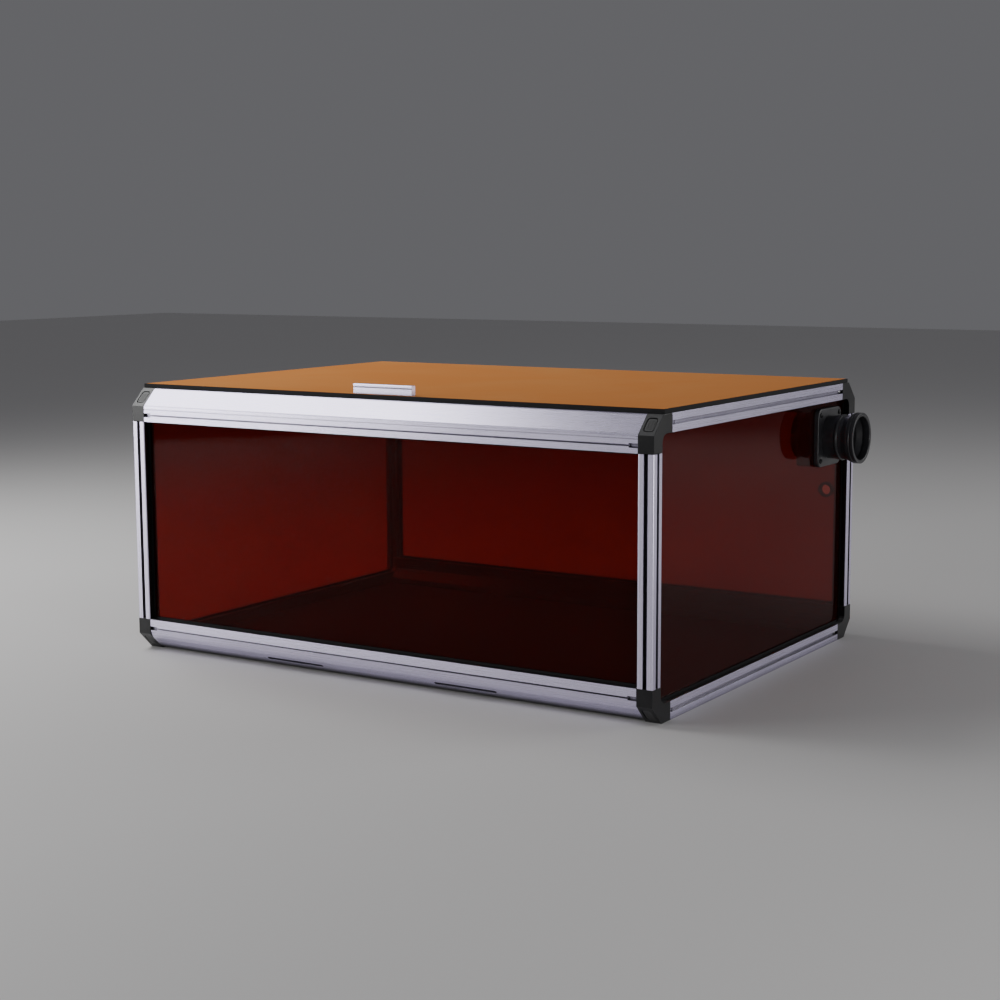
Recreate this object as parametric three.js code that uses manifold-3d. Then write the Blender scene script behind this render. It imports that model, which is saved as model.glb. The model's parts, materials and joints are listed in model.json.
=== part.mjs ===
// Desktop laser-cutter enclosure: an aluminium profile frame with plastic corner blocks, tinted
// acrylic walls held in rubber edge seals, a hinged acrylic lid with a pull, and an exhaust fan
// with a hose adapter on the right wall. Millimetres, +Z up, +X right, -Y is the front.
import * as THREE from 'three';
import { mergeVertices } from 'three/addons/utils/BufferGeometryUtils.js';
import Module from 'manifold-3d';

const wasm = await Module();
wasm.setup();

// ---------------------------------------------------------------- driving dimensions
const WIDTH = 765;              // outside of the frame, left to right
const DEPTH = 574;              // outside of the frame, front to back
const HEIGHT = 345;             // frame without the lid
const POST = 20;                // square corner post
const CHAMFER = 22;             // 45 degree face on the front and rear rails
const RAIL = 42;                // height of the front and rear rails
const LEDGE = 36;               // depth of the front and rear rails at the lid and floor
const SIDE_RAIL = 21.5;         // height of the left and right rails
const ARM = 43;                 // length of a corner block along the side rail
const GAP = 0.3;                // clearance between touching pieces

const SLOT = { width: 5.2, depth: 6, at: 10 };          // panel slot in every profile
const T_SLOT = { ...SLOT, lip: 1.8, undercut: 2, throat: 3.4 };   // open slots of the posts
const GROOVE = { width: 2, depth: 3 };                  // thin line on the front and rear rails
const GROOVE_AT = { true: 8.5, false: 11.8 };           // its height in the top and bottom rails
const COVER = { width: 5, depth: 3.4, at: 10.75 };      // covered slot on the side rails
const FINE_LINE = { width: 1, depth: 0.6, at: 2.5, below: 4.5 };    // under the upper 45 degree face
const NOTCH = { length: 11, height: 5, depth: 4 };      // uncovered slot end of each rail
const BORE = { radius: 2.6, segments: 12 };             // screw channel through every profile
const PEG = { radius: 2.2, length: 12, root: 2, segments: 10 };
const FRONT_BORE = { inset: 12, height: 24 };
const SIDE_BORE = { inset: 10.5, height: 9 };
const FLOOR = { thickness: 2, slot: 2.6, at: 4, reach: 3.4 };
const PANEL = { thickness: 3, reach: 3.2 };
const SEAL = { thickness: 4.6, wall: 1.2, lip: 3, topLip: 2 };
const VENT = { length: 88, width: 4.5, depth: 9, offset: 128 };
const CAP = { width: 12.5, length: 19, radius: 3.5, thickness: 1.3, recess: 1.8 };

const LID = { thickness: 3, bottom: 347.5, front: 24, rear: 27 };
const LID_SEAL = { bottom: 345.3, base: 1.9, upstand: 1.7, lip: 3.5, drop: 339.5 };
const HANDLE = { length: 86, front: 28, back: 36, height: 11.7, screwX: 37, screwY: 32 };
const HANDLE_GROOVE = { width: 1.6, depth: 2, at: 8 };
const HINGE = { x: 230, length: 60, radius: 3, pin: 1.2, y: 268.6, z: 346.2, leaf: 1.5, joint: 0.4 };
const SCREW = { shank: 1.4, head: 2.7, headHeight: 1.4, clearance: 0.35, segments: 16 };

const FAN = { y: 208, z: 278, size: 74, depth: 22, bore: 33, corner: 4, screw: 30 };
const ROTOR = { hub: 14.5, tip: 31.8, length: 14.5, blades: 7, chord: 15, blade: 1.6, pitch: 0.75 };
const GUARD = { radius: 30, wall: 3, length: 11.6, bar: 2.2, ring: 17 };
const PLATE = { width: 75, height: 76, radius: 10, thickness: 6 };
const DUCT = { radius: 28.5, bore: 26.5, bead: 30, mouth: 31.8, length: 41.7 };
const COLLAR = { radius: 33, bore: 28.2, length: 8 };
const GROMMET = { x: 347, z: 198, flange: 10.5, neck: 8.9, bore: 6.8, lip: 1.6 };

// ---------------------------------------------------------------- materials
const finish = (color, roughness, metalness) =>
  new THREE.MeshStandardMaterial({ color, roughness, metalness });
const material = {
  aluminium: finish(0xd9d6e2, 0.35, 0.9),
  block: finish(0x1b1b1d, 0.5, 0.0),
  cap: finish(0x4c4c4e, 0.55, 0.0),
  wall: finish(0x5a120e, 0.12, 0.0),
  lid: finish(0xc07f3f, 0.1, 0.0),
  rubber: finish(0x0d0d0e, 0.8, 0.0),
  floor: finish(0x241614, 0.6, 0.2),
  fan: finish(0x202023, 0.55, 0.0),
  steel: finish(0x8d8f94, 0.3, 1.0),
};

// ---------------------------------------------------------------- geometry helpers
const HALF_W = WIDTH / 2;
const HALF_D = DEPTH / 2;
const vec = (x, y, z) => new THREE.Vector3(x, y, z);

// A prism is drawn in (y, z) along x, in (z, x) along y and in (x, y) along z.
const BASIS = {
  x: new THREE.Matrix4().makeBasis(vec(0, 1, 0), vec(0, 0, 1), vec(1, 0, 0)),
  y: new THREE.Matrix4().makeBasis(vec(0, 0, 1), vec(1, 0, 0), vec(0, 1, 0)),
  z: new THREE.Matrix4(),
};

// Outlines run anticlockwise and holes clockwise, whichever way they were mirrored.
function oriented(list, clockwise) {
  const points = list.map(([u, v]) => new THREE.Vector2(u, v));
  return THREE.ShapeUtils.isClockWise(points) === clockwise ? points : points.reverse();
}

function toShape(outline, holes) {
  const shape = new THREE.Shape(oriented(outline, false));
  shape.holes = holes.map((hole) => new THREE.Path(oriented(hole, true)));
  return shape;
}

function prism(outline, axis, start, end, holes = []) {
  const options = { depth: end - start, bevelEnabled: false };
  const geometry = new THREE.ExtrudeGeometry(toShape(outline, holes), options);
  return geometry.translate(0, 0, start).applyMatrix4(BASIS[axis]);
}

function block(x0, x1, y0, y1, z0, z1) {
  const geometry = new THREE.BoxGeometry(Math.abs(x1 - x0), Math.abs(y1 - y0), Math.abs(z1 - z0));
  return geometry.translate((x0 + x1) / 2, (y0 + y1) / 2, (z0 + z1) / 2);
}

function rod(axis, radius, start, end, centre, segments = SCREW.segments) {
  return prism(circle(centre[0], centre[1], radius, segments), axis, start, end);
}

// A body turned about an axis along x, from its closed (radius, x) profile.
function turnedAboutX(profile, y, z, segments) {
  const points = profile.map(([radius, x]) => new THREE.Vector2(radius, x));
  const geometry = new THREE.LatheGeometry([...points, points[0]], segments);
  return geometry.applyMatrix4(new THREE.Matrix4().makeRotationZ(-Math.PI / 2)).translate(0, y, z);
}

function turnedAboutY(profile, x, z, segments) {
  const points = profile.map(([radius, y]) => new THREE.Vector2(radius, y));
  return new THREE.LatheGeometry([...points, points[0]], segments).translate(x, 0, z);
}

function circle(cx, cy, radius, segments) {
  return Array.from({ length: segments }, (_, i) => {
    const angle = (2 * Math.PI * i) / segments;
    return [cx + radius * Math.cos(angle), cy + radius * Math.sin(angle)];
  });
}

function arc(cx, cy, radius, from, to, steps) {
  return Array.from({ length: steps + 1 }, (_, i) => {
    const angle = from + ((to - from) * i) / steps;
    return [cx + radius * Math.cos(angle), cy + radius * Math.sin(angle)];
  });
}

function rectangle(u0, u1, v0, v1) {
  return [[u0, v0], [u1, v0], [u1, v1], [u0, v1]];
}

function roundedRectangle(cu, cv, width, height, radius, steps = 4) {
  const u = width / 2 - radius;
  const v = height / 2 - radius;
  const quarter = Math.PI / 2;
  const corners = [[u, v, 0], [-u, v, 1], [-u, -v, 2], [u, -v, 3]];
  return corners.flatMap(([x, y, turn]) =>
    arc(cu + x, cv + y, radius, turn * quarter, (turn + 1) * quarter, steps));
}

// Cuts slots into the edges of an outline that runs anticlockwise; slots maps edge to its slot.
function slotted(corners, slots) {
  return corners.flatMap((corner, edge) => {
    const next = corners[(edge + 1) % corners.length];
    const slot = slots[edge];
    if (!slot) return [corner];
    const length = Math.hypot(next[0] - corner[0], next[1] - corner[1]);
    const along = [(next[0] - corner[0]) / length, (next[1] - corner[1]) / length];
    const point = (distance, depth) => [
      corner[0] + along[0] * distance - along[1] * depth,
      corner[1] + along[1] * distance + along[0] * depth,
    ];
    const first = slot.at - slot.width / 2;
    const last = slot.at + slot.width / 2;
    const side = (edge, out) => (slot.undercut
      ? [point(edge, slot.lip), point(edge + out, slot.lip), point(edge + out, slot.throat)] : []);
    return [
      corner,
      point(first, 0), ...side(first, -slot.undercut), point(first, slot.depth),
      point(last, slot.depth), ...side(last, slot.undercut).reverse(), point(last, 0),
    ];
  });
}

// Joining and cutting.
function solid(geometry) {
  const bare = geometry.clone();
  bare.deleteAttribute('normal');
  bare.deleteAttribute('uv');
  const merged = mergeVertices(bare, 1e-4);
  return new wasm.Manifold(new wasm.Mesh({
    numProp: 3,
    vertProperties: new Float32Array(merged.attributes.position.array),
    triVerts: new Uint32Array(merged.index.array),
  }));
}

function toGeometry(manifold) {
  const mesh = manifold.getMesh();
  const geometry = new THREE.BufferGeometry();
  geometry.setAttribute('position', new THREE.BufferAttribute(mesh.vertProperties, 3));
  geometry.setIndex(new THREE.BufferAttribute(mesh.triVerts, 1));
  geometry.computeVertexNormals();
  return geometry;
}

const cut = (body, ...tools) =>
  toGeometry(tools.reduce((left, tool) => left.subtract(solid(tool)), solid(body)));
const join = (...bodies) =>
  toGeometry(bodies.slice(1).reduce((left, body) => left.add(solid(body)), solid(bodies[0])));

// ---------------------------------------------------------------- the assembly
const enclosure = new THREE.Group();

function add(name, geometry, look, parent = enclosure) {
  const mesh = new THREE.Mesh(geometry, material[look]);
  mesh.name = name;
  parent.add(mesh);
}

const LEFT = -1;
const RIGHT = 1;
const FRONT = -1;
const REAR = 1;
const sideName = { [LEFT]: 'left', [RIGHT]: 'right' };
const endName = { [FRONT]: 'front', [REAR]: 'rear' };
const levelName = { false: 'bottom', true: 'top' };

// Sections are drawn from the outer face inward and from the top or bottom of the frame.
const level = (height, top) => (top ? HEIGHT - height : height);
const acrossDepth = (points, end, top) =>
  points.map(([inset, height]) => [end * (HALF_D - inset), level(height, top)]);
const acrossWidth = (points, side, top) =>
  points.map(([inset, height]) => [level(height, top), side * (HALF_W - inset)]);

// Where the profiles stop: openings of the four walls.
const INNER_X = HALF_W - POST;
const INNER_Y = HALF_D - POST;
const RAIL_END = INNER_X - GAP;
const SIDE_END = HALF_D - ARM - GAP;

// Corner posts: square profile with a slot in each face and a screw channel.
for (const side of [LEFT, RIGHT]) {
  for (const end of [FRONT, REAR]) {
    const square = slotted(rectangle(0, POST, 0, POST), [T_SLOT, T_SLOT, T_SLOT, T_SLOT]);
    const place = ([u, v]) => [side * (HALF_W - u), end * (HALF_D - v)];
    const channel = circle(SLOT.at, SLOT.at, BORE.radius, BORE.segments);
    const post = prism(square.map(place), 'z', RAIL + GAP, HEIGHT - RAIL - GAP, [channel.map(place)]);
    add(`post_${endName[end]}_${sideName[side]}`, post, 'aluminium');
  }
}

// Front and rear rails: upright face, 45 degree face and the ledge that carries lid or floor.
// The lower rails have softer corners on their 45 degree face, the upper ones a fine line below it.
function railOutline(top) {
  const soften = top ? 2 : 7;
  const root = soften * Math.SQRT1_2;
  const lineStart = top ? [[0, CHAMFER + soften + FINE_LINE.below]] : [];
  const corners = [
    [CHAMFER + soften, 0], [LEDGE, 0], [LEDGE, 14], [POST, 27], [POST, RAIL], [0, RAIL],
    ...lineStart, [0, CHAMFER + soften], [root * 0.35, CHAMFER + root * 0.35 - soften * 0.25],
    [root, CHAMFER - root], [CHAMFER - root, root],
    [CHAMFER + root * 0.35 - soften * 0.25, root * 0.35],
  ];
  const floorSlot = { width: FLOOR.slot, depth: 4, at: FLOOR.at };
  const groove = { ...GROOVE, at: GROOVE_AT[top] };
  const fineLine = top ? FINE_LINE : undefined;
  return slotted(corners, { 1: top ? undefined : floorSlot, 4: SLOT, 5: groove, 6: fineLine });
}

for (const end of [FRONT, REAR]) {
  for (const top of [false, true]) {
    const outline = acrossDepth(railOutline(top), end, top);
    const channel = circle(FRONT_BORE.inset, FRONT_BORE.height, BORE.radius, BORE.segments);
    const body = prism(outline, 'x', -RAIL_END, RAIL_END, [acrossDepth(channel, end, top)]);
    const grooveLevel = level(RAIL - GROOVE_AT[top], top);
    const face = end * HALF_D;
    const tools = [LEFT, RIGHT].map((side) => block(
      side * (RAIL_END - NOTCH.length), side * (RAIL_END + 1),
      face + end, face - end * NOTCH.depth,
      grooveLevel - NOTCH.height / 2, grooveLevel + NOTCH.height / 2));
    if (end === FRONT && !top) tools.push(...ventTools());
    add(`rail_${levelName[top]}_${endName[end]}`, cut(body, ...tools), 'aluminium');
  }
}

// Two long pockets with round ends in the 45 degree face of the lower front rail.
function ventTools() {
  const slope = chamferFrame(0, FRONT, false);
  return [LEFT, RIGHT].map((side) => {
    const end = VENT.width / 2 - 0.05;
    const outline = roundedRectangle(side * VENT.offset, 0, VENT.length, VENT.width, end);
    const pocket = prism(outline, 'z', -VENT.depth, 2);
    return pocket.applyMatrix4(slope);
  });
}

// Frame on a 45 degree face: local x along the rail, local z out of the face.
function chamferFrame(x, end, top) {
  const outward = vec(0, end, top ? 1 : -1).normalize();
  const along = vec(1, 0, 0);
  const up = new THREE.Vector3().crossVectors(outward, along);
  const matrix = new THREE.Matrix4().makeBasis(along, up, outward);
  return matrix.setPosition(x, end * (HALF_D - CHAMFER / 2), level(CHAMFER / 2, top));
}

// Left and right rails: square profile with a covered slot on the outer face.
for (const side of [LEFT, RIGHT]) {
  for (const top of [false, true]) {
    const floorSlot = { width: FLOOR.slot, depth: 4, at: FLOOR.at };
    const slots = { 1: top ? undefined : floorSlot, 2: SLOT, 3: COVER };
    const outline = slotted(rectangle(0, POST, 0, SIDE_RAIL), slots);
    const channel = circle(SIDE_BORE.inset, SIDE_BORE.height, BORE.radius, BORE.segments);
    const body = prism(acrossWidth(outline, side, top), 'y', -SIDE_END, SIDE_END,
      [acrossWidth(channel, side, top)]);
    const slotLevel = level(SIDE_RAIL - COVER.at, top);
    const face = side * HALF_W;
    const tools = [FRONT, REAR].map((end) => block(
      face + side, face - side * NOTCH.depth,
      end * (SIDE_END - NOTCH.length), end * (SIDE_END + 1),
      slotLevel - NOTCH.height / 2, slotLevel + NOTCH.height / 2));
    add(`rail_${levelName[top]}_${sideName[side]}`, cut(body, ...tools), 'aluminium');
  }
}

// Corner blocks: they carry the rail's section round the corner, with an arm along the side
// rail, a fillet down to the post, a peg into each profile and a recessed cap on the 45
// degree face. Slots inside take the edges of the two walls.
function cornerOutline() {
  const fillet = 10;
  const inner = arc(POST + fillet, SIDE_RAIL + fillet, fillet, -Math.PI / 2, -Math.PI, 5);
  return [[0, RAIL], [0, CHAMFER], [CHAMFER, 0], [ARM, 0], [ARM, SIDE_RAIL], ...inner, [POST, RAIL]];
}

for (const side of [LEFT, RIGHT]) {
  for (const end of [FRONT, REAR]) {
    for (const top of [false, true]) {
      const label = `${levelName[top]}_${endName[end]}_${sideName[side]}`;
      const x = (inset) => side * (HALF_W - inset);
      const y = (inset) => end * (HALF_D - inset);
      const z = (height) => level(height, top);
      const span = (a, b) => [Math.min(a, b), Math.max(a, b)];
      const peg = (axis, from, to, centre) =>
        rod(axis, PEG.radius, ...span(from, to), centre, PEG.segments);
      const near = SLOT.at - SLOT.width / 2;
      const far = SLOT.at + SLOT.width / 2;
      const slotStart = POST - SLOT.depth;

      const body = join(
        prism(acrossDepth(cornerOutline(), end, top), 'x', ...span(x(0), x(POST))),
        peg('x', x(POST - PEG.root), x(POST + PEG.length), [y(FRONT_BORE.inset), z(FRONT_BORE.height)]),
        peg('y', y(ARM - PEG.root), y(ARM + PEG.length), [z(SIDE_BORE.height), x(SIDE_BORE.inset)]),
        peg('z', z(RAIL - PEG.root), z(RAIL + PEG.length), [x(SLOT.at), y(SLOT.at)]));
      const slope = chamferFrame(x(POST / 2), end, top);
      const seat = roundedRectangle(0, 0, CAP.width + 2 * GAP, CAP.length + 2 * GAP, CAP.radius + GAP);
      const carved = cut(body,
        block(x(near), x(far), y(slotStart), y(ARM + 1), z(SIDE_RAIL - SLOT.depth), z(RAIL + 1)),
        block(x(slotStart), x(POST + 1), y(near), y(far), z(RAIL - SLOT.depth), z(RAIL + 1)),
        prism(seat, 'z', -CAP.recess, 2).applyMatrix4(slope));
      add(`corner_${label}`, carved, 'block');

      const plate = roundedRectangle(0, 0, CAP.width, CAP.length, CAP.radius);
      const bottom = GAP - CAP.recess;
      add(`cap_${label}`, prism(plate, 'z', bottom, bottom + CAP.thickness).applyMatrix4(slope), 'cap');
    }
  }
}

// ---------------------------------------------------------------- walls, seals and floor
// A wall is a sheet whose edges reach into the profiles' slots; its seal is a rubber ring of
// U section round that edge. halfU and v0..v1 are the opening's size.
function sheetOutline(halfU, v0, v1, reach) {
  return rectangle(-halfU - reach, halfU + reach, v0 - reach, v1 + reach);
}

function sealRing(axis, centre, halfU, v0, v1, order) {
  const outer = sheetOutline(halfU, v0, v1, PANEL.reach + SEAL.wall);
  const opening = rectangle(-halfU + SEAL.lip, halfU - SEAL.lip, v0 + SEAL.lip, v1 - SEAL.topLip);
  const ring = prism(outer.map(order), axis, centre - SEAL.thickness / 2, centre + SEAL.thickness / 2,
    [opening.map(order)]);
  const bed = PANEL.thickness / 2 + GAP;
  return cut(ring, prism(sheetOutline(halfU, v0, v1, PANEL.reach + GAP).map(order), axis,
    centre - bed, centre + bed));
}

function sheet(axis, centre, halfU, v0, v1, order) {
  return prism(sheetOutline(halfU, v0, v1, PANEL.reach).map(order), axis,
    centre - PANEL.thickness / 2, centre + PANEL.thickness / 2);
}

const endOpening = [INNER_X, RAIL, HEIGHT - RAIL];
const sideOpening = [INNER_Y, SIDE_RAIL, HEIGHT - SIDE_RAIL];
const asDrawn = ([u, v]) => [u, v];
const swapped = ([u, v]) => [v, u];

for (const end of [FRONT, REAR]) {
  const centre = end * (HALF_D - SLOT.at);
  const wall = sheet('y', centre, ...endOpening, swapped);
  const hole = rod('y', GROMMET.neck + GAP, centre - 5, centre + 5, [GROMMET.z, GROMMET.x], 24);
  add(`wall_${endName[end]}`, end === REAR ? cut(wall, hole) : wall, 'wall');
  add(`seal_${endName[end]}`, sealRing('y', centre, ...endOpening, swapped), 'rubber');
}

const fanScrews = [LEFT, RIGHT].flatMap((a) => [LEFT, RIGHT].map((b) =>
  [FAN.y + a * FAN.screw, FAN.z + b * FAN.screw]));
const screwHole = (x0, x1, centre) => rod('x', SCREW.shank + 0.3 + SCREW.clearance, x0, x1, centre);

for (const side of [LEFT, RIGHT]) {
  const centre = side * (HALF_W - SLOT.at);
  const wall = sheet('x', centre, ...sideOpening, asDrawn);
  const fanHole = rod('x', GUARD.radius + 0.5, centre - 5, centre + 5, [FAN.y, FAN.z], 40);
  const holes = [fanHole, ...fanScrews.map((spot) => screwHole(centre - 5, centre + 5, spot))];
  add(`wall_${sideName[side]}`, side === RIGHT ? cut(wall, ...holes) : wall, 'wall');
  add(`seal_${sideName[side]}`, sealRing('x', centre, ...sideOpening, asDrawn), 'rubber');
}

// The floor sheet slides into slots of the lower rails and stops short of the corner blocks.
{
  const wideX = INNER_X + FLOOR.reach;
  const narrowX = INNER_X - 2 * GAP;
  const shortY = HALF_D - ARM - 2 * GAP;
  const longY = HALF_D - LEDGE + FLOOR.reach;
  const outline = [
    [wideX, -shortY], [wideX, shortY], [narrowX, shortY], [narrowX, longY],
    [-narrowX, longY], [-narrowX, shortY], [-wideX, shortY], [-wideX, -shortY],
    [-narrowX, -shortY], [-narrowX, -longY], [narrowX, -longY], [narrowX, -shortY],
  ];
  const bottom = FLOOR.at - FLOOR.thickness / 2;
  add('floor_plate', prism(outline, 'z', bottom, bottom + FLOOR.thickness), 'floor');
}

// Rubber grommet in the rear wall, for the machine's cables.
{
  const centre = HALF_D - SLOT.at;
  const half = PANEL.thickness / 2 + GAP;
  const outer = half + GROMMET.lip;
  const profile = [
    [GROMMET.bore, -outer], [GROMMET.flange - 0.8, -outer], [GROMMET.flange, -outer + 0.8],
    [GROMMET.flange, -half], [GROMMET.neck, -half], [GROMMET.neck, half], [GROMMET.flange, half],
    [GROMMET.flange, outer - 0.8], [GROMMET.flange - 0.8, outer], [GROMMET.bore, outer],
  ];
  const placed = profile.map(([radius, along]) => [radius, centre + along]);
  add('cable_grommet', turnedAboutY(placed, GROMMET.x, GROMMET.z, 24), 'rubber');
}

// ---------------------------------------------------------------- lid
const LID_X = HALF_W;
const LID_FRONT = -HALF_D + LID.front;
const LID_REAR = HALF_D - LID.rear;
const LID_TOP = LID.bottom + LID.thickness;
const handleSpots = [LEFT, RIGHT].map((side) => [side * HANDLE.screwX, -HALF_D + HANDLE.screwY]);
const shankHole = (spot) =>
  rod('z', SCREW.shank + SCREW.clearance, LID.bottom - 2, LID_TOP + HANDLE.height + 2, spot);

// Black rubber frame round the lid: it lies on the rails, wraps the sheet's edge and hangs
// a lip inside the opening.
{
  const { bottom, base, upstand, lip, drop } = LID_SEAL;
  const outer = (margin) =>
    rectangle(-LID_X + margin, LID_X - margin, LID_FRONT + margin, LID_REAR - margin);
  const inner = (margin) => {
    const x = INNER_X - 1 - margin;
    const y = HALF_D - LEDGE - 1.5 - margin;
    return rectangle(-x, x, -y, y);
  };
  const bed = prism(outer(0), 'z', bottom, bottom + base, [inner(lip)]);
  const edge = prism(outer(0), 'z', bottom, LID_TOP - 0.2, [outer(upstand)]);
  const tongue = prism(inner(0), 'z', drop, bottom + 1, [inner(lip)]);
  add('lid_seal', join(bed, edge, tongue), 'rubber');

  const inset = upstand + GAP;
  const pane = prism(rectangle(-LID_X + inset, LID_X - inset, LID_FRONT + inset, LID_REAR - inset),
    'z', LID.bottom, LID_TOP);
  add('lid_panel', cut(pane, ...handleSpots.map(shankHole)), 'lid');
}

// Lid pull: a solid aluminium bar with a groove along its face, held by two screws whose
// heads sit in counterbores.
{
  const foot = LID_TOP + GAP;
  const top = foot + HANDLE.height;
  const y = (inset) => -HALF_D + inset;
  const bevel = 0.8;
  const corners = [
    [y(HANDLE.front), foot], [y(HANDLE.back), foot], [y(HANDLE.back), top - bevel],
    [y(HANDLE.back - bevel), top], [y(HANDLE.front + bevel), top], [y(HANDLE.front), top - bevel],
  ];
  const groove = { ...HANDLE_GROOVE, at: HANDLE.height - bevel - HANDLE_GROOVE.at };
  const bar = prism(slotted(corners, { 5: groove }), 'x', -HANDLE.length / 2, HANDLE.length / 2);
  const seat = top - SCREW.headHeight - GAP;
  const counterbores = handleSpots.map((spot) => rod('z', SCREW.head + GAP, seat, top + 1, spot));
  add('lid_handle', cut(bar, ...handleSpots.map(shankHole), ...counterbores), 'aluminium');
  handleSpots.forEach((spot, i) => {
    const shank = rod('z', SCREW.shank, LID.bottom + 0.2, seat + 0.8, spot);
    const head = rod('z', SCREW.head, seat + GAP, top - 0.1, spot);
    add(`handle_screw_${i === 0 ? 'left' : 'right'}`, join(shank, head), 'steel');
  });
}

// Butt hinges behind the lid, below its top: one leaf stands behind the lid's edge frame, the
// other lies on the 45 degree face of the rear rail.
for (const side of [LEFT, RIGHT]) {
  const name = sideName[side];
  const centre = side * HINGE.x;
  const half = HINGE.length / 2;
  const knuckle = HINGE.length / 6;
  const axle = [HINGE.y, HINGE.z];
  const barrel = (x0, x1) => rod('x', HINGE.radius, x0, x1, axle, 20);
  const channel = rod('x', HINGE.pin + GAP, centre - half - 1, centre + half + 1, axle, 14);
  const inner = knuckle - HINGE.joint;

  const back = LID_REAR + GAP;
  const low = HEIGHT + 2 * GAP;
  const upright = block(centre - half, centre + half, back, back + HINGE.leaf, low, LID_TOP - 0.2);
  const web = block(centre - inner, centre + inner, back + 0.5, HINGE.y, low, HEIGHT + 2.2);
  add(`hinge_lid_leaf_${name}`, cut(join(upright, web, barrel(centre - inner, centre + inner)), channel),
    'steel');

  // The frame leaf lies on the slope, a little off its surface.
  const slope = chamferFrame(centre, REAR, true);
  const slopeLength = CHAMFER * Math.SQRT2;
  const outline = rectangle(-half, half, -slopeLength / 2, slopeLength / 2 - 8);
  const leaf = prism(outline, 'z', HINGE.joint, HINGE.joint + HINGE.leaf).applyMatrix4(slope);
  const room = block(centre - knuckle, centre + knuckle, back, HINGE.y + 4.5, HINGE.z - 5, HINGE.z + 6);
  const ends = [[-half, -knuckle], [knuckle, half]];
  add(`hinge_frame_leaf_${name}`, cut(join(leaf,
    ...ends.map(([x0, x1]) => barrel(centre + x0, centre + x1))), room, channel), 'steel');

  add(`hinge_pin_${name}`, rod('x', HINGE.pin, centre - half, centre + half, axle, 14), 'steel');
}

// ---------------------------------------------------------------- exhaust fan on the right wall
const WALL_IN = HALF_W - SLOT.at - PANEL.thickness / 2;
const WALL_OUT = HALF_W - SLOT.at + PANEL.thickness / 2;
const HOUSING_OUT = WALL_IN - GAP;
const HOUSING_IN = HOUSING_OUT - FAN.depth;
const PLATE_IN = WALL_OUT + GAP;
const PLATE_OUT = PLATE_IN + PLATE.thickness;
const axisYZ = [FAN.y, FAN.z];

// Housing: square frame with a round bore, and four arms that hold the motor disc.
{
  const frame = prism(roundedRectangle(...axisYZ, FAN.size, FAN.size, FAN.corner), 'x',
    HOUSING_IN, HOUSING_OUT, [circle(...axisYZ, FAN.bore, 40)]);
  const armStart = HOUSING_OUT - 4;
  const disc = rod('x', ROTOR.hub + 0.5, armStart, HOUSING_OUT, axisYZ, 24);
  const reach = FAN.bore + 1;
  const arms = [
    block(armStart, HOUSING_OUT, FAN.y - reach, FAN.y + reach, FAN.z - 2.2, FAN.z + 2.2),
    block(armStart, HOUSING_OUT, FAN.y - 2.2, FAN.y + 2.2, FAN.z - reach, FAN.z + reach),
  ];
  const holes = fanScrews.map((spot) => screwHole(HOUSING_IN - 1, HOUSING_OUT + 1, spot));
  add('fan_housing', cut(join(frame, disc, ...arms), ...holes), 'fan');
}

// Rotor: hub with pitched blades, on the fan's own axis.
{
  const start = HOUSING_IN + 2.2;
  const middle = start + ROTOR.length / 2;
  const hub = rod('x', ROTOR.hub, start, start + ROTOR.length, axisYZ, 28);
  const span = ROTOR.tip - ROTOR.hub + 2;
  const blades = Array.from({ length: ROTOR.blades }, (_, i) => {
    const blade = new THREE.BoxGeometry(ROTOR.blade, ROTOR.chord, span);
    blade.rotateZ(ROTOR.pitch);
    blade.translate(0, 0, ROTOR.hub - 2 + span / 2);
    return blade.rotateX((2 * Math.PI * i) / ROTOR.blades).translate(middle, ...axisYZ);
  });
  add('fan_rotor', join(hub, ...blades), 'fan');
}

// Finger guard on the inlet: a short round collar with cross bars and an inner ring.
{
  const out = HOUSING_IN - GAP;
  const inner = out - GUARD.length;
  const collar = prism(circle(...axisYZ, GUARD.radius, 36), 'x', inner, out,
    [circle(...axisYZ, GUARD.radius - GUARD.wall, 36)]);
  const ring = prism(circle(...axisYZ, GUARD.ring, 24), 'x', inner, inner + GUARD.bar,
    [circle(...axisYZ, GUARD.ring - GUARD.bar, 24)]);
  const reach = GUARD.radius - 1;
  const half = GUARD.bar / 2;
  const bars = [
    block(inner, inner + GUARD.bar, FAN.y - reach, FAN.y + reach, FAN.z - half, FAN.z + half),
    block(inner, inner + GUARD.bar, FAN.y - half, FAN.y + half, FAN.z - reach, FAN.z + reach),
  ];
  add('fan_guard', join(collar, ring, ...bars), 'fan');
}

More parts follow.
